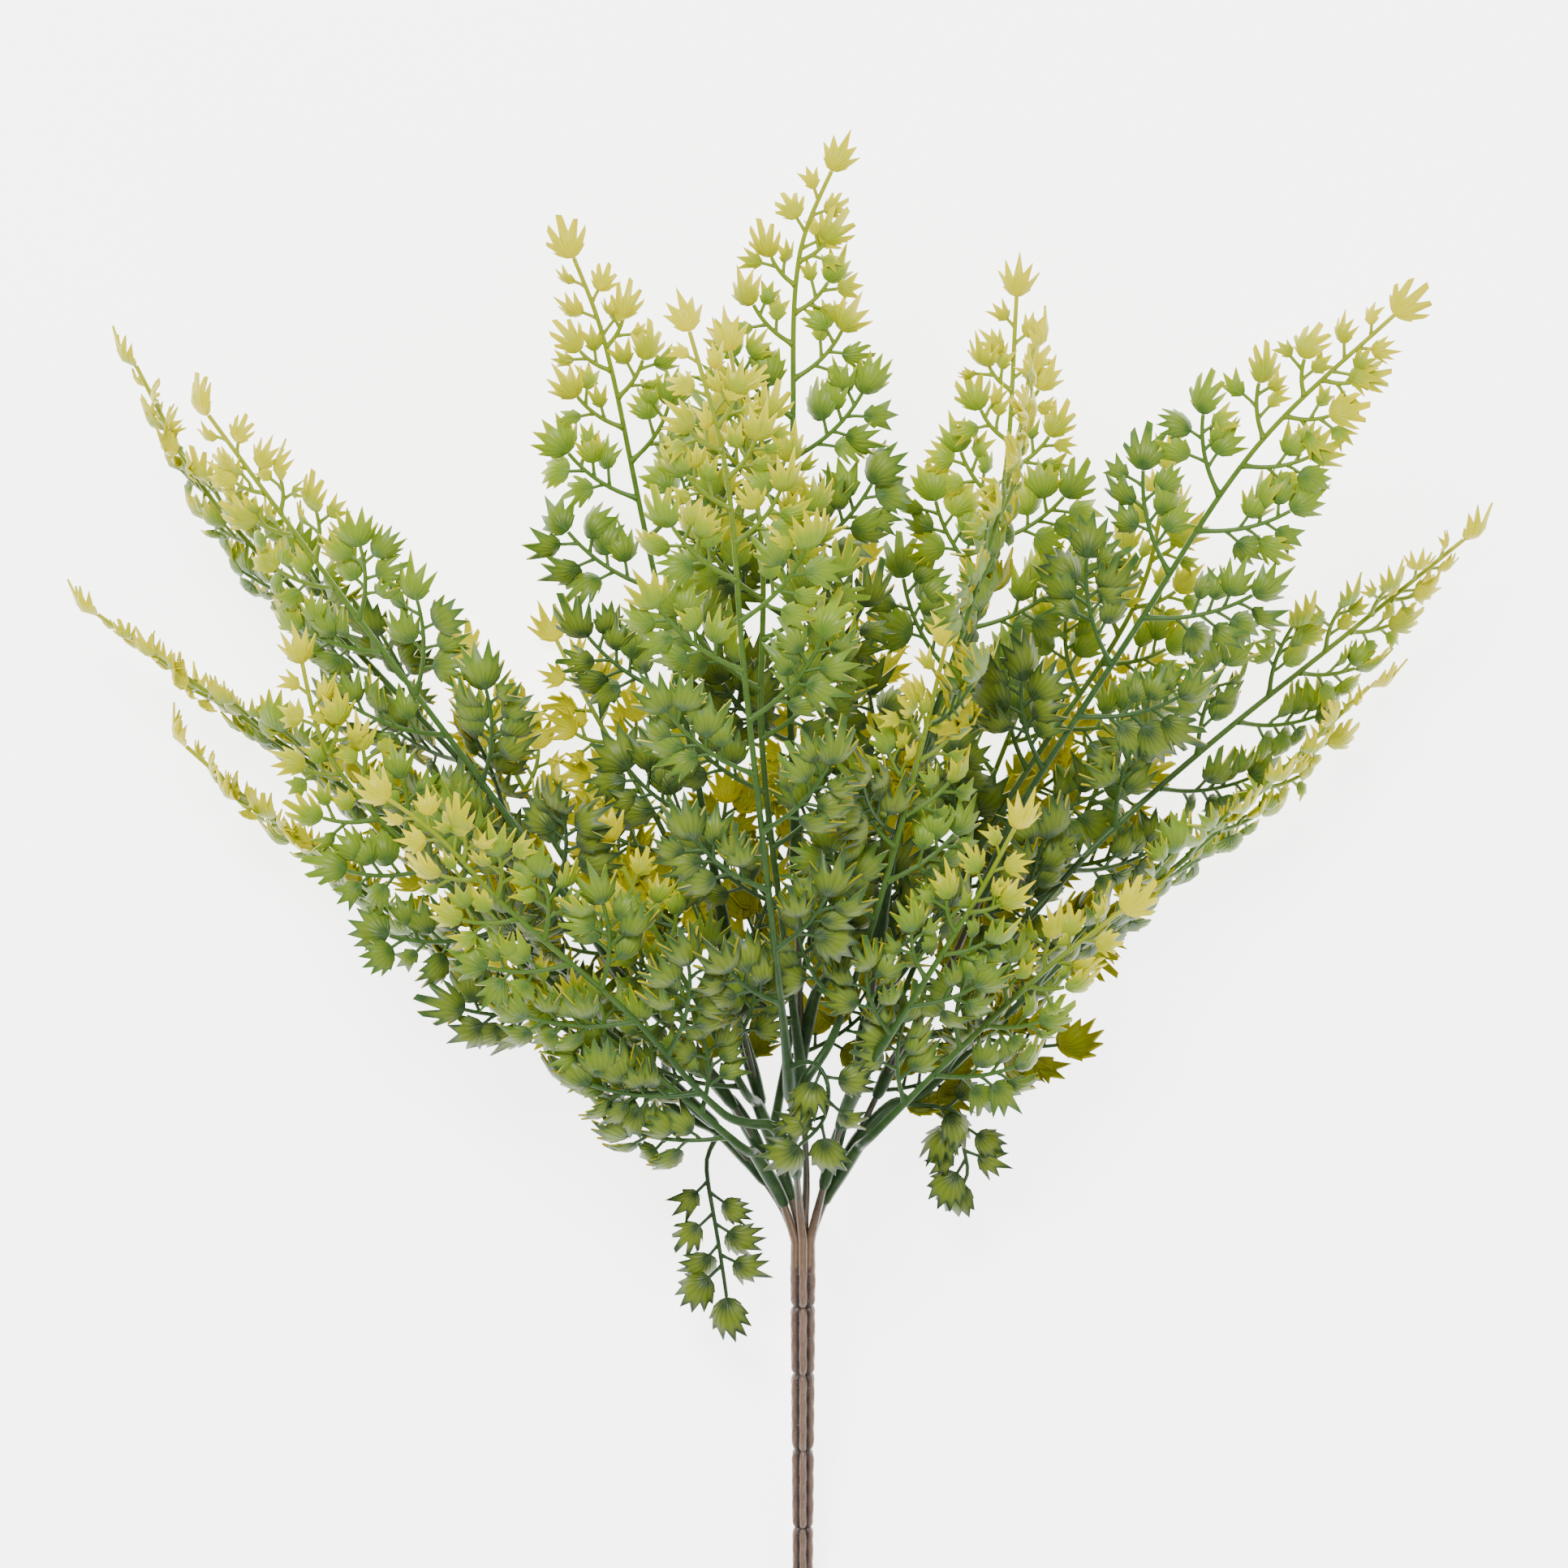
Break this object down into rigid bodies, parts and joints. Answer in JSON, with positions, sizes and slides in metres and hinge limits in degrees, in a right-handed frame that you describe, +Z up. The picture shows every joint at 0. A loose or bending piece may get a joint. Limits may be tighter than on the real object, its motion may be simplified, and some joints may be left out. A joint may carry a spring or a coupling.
{
  "type": "artificial fern bush",
  "caption": "Artificial maidenhair fern bush with moulded green and yellow sprays on wire-cored stems that join in one notched brown stem bundle, lying on its side.",
  "frame": {"origin": "bottom centre of the bounding box, on the surface that the bush lies on", "axes": "+Y from the stem bundle's cut end towards the tip of the middle spray, +X towards the right-hand sprays, +Z up, square to the surface"},
  "size_m": [0.4112, 0.4487, 0.1738],
  "materials": {
    "bundle_brown": "brown moulded polyethylene, slightly glossy, darker in the grooves between the fused stems",
    "stem_olive": "dark olive-brown extruded coating over wire, satin",
    "fern_green": "moulded polyethylene, bluish green at the foot, mid green leaves with lighter edges, airbrushed yellow at the tip, yellow-olive on the unpainted back"
  },
  "bodies": {
    "root": {"stem_bundle": "bundle_brown", "stem_right": "stem_olive", "stem_inner_right": "stem_olive", "stem_middle": "stem_olive", "stem_front": "stem_olive", "stem_inner_left": "stem_olive", "stem_left": "stem_olive", "stem_low_left": "stem_olive", "spray_right_end": "fern_green", "spray_right_middle": "fern_green", "spray_right_front": "fern_green", "spray_right_low": "fern_green", "spray_right_behind": "fern_green", "spray_inner_right_end": "fern_green", "spray_inner_right_front": "fern_green", "spray_inner_right_behind": "fern_green", "spray_inner_right_floor": "fern_green", "spray_middle_end": "fern_green", "spray_middle_right": "fern_green", "spray_middle_left": "fern_green", "spray_front_end": "fern_green", "spray_front_left": "fern_green", "spray_front_right": "fern_green", "spray_inner_left_end": "fern_green", "spray_inner_left_front": "fern_green", "spray_inner_left_behind": "fern_green", "spray_inner_left_floor": "fern_green", "spray_left_end": "fern_green", "spray_left_upper": "fern_green", "spray_left_lower": "fern_green", "spray_left_front": "fern_green", "spray_left_behind": "fern_green", "spray_low_left_end": "fern_green", "spray_low_left_side": "fern_green", "spray_low_left_floor": "fern_green"}
  },
  "joints": []
}
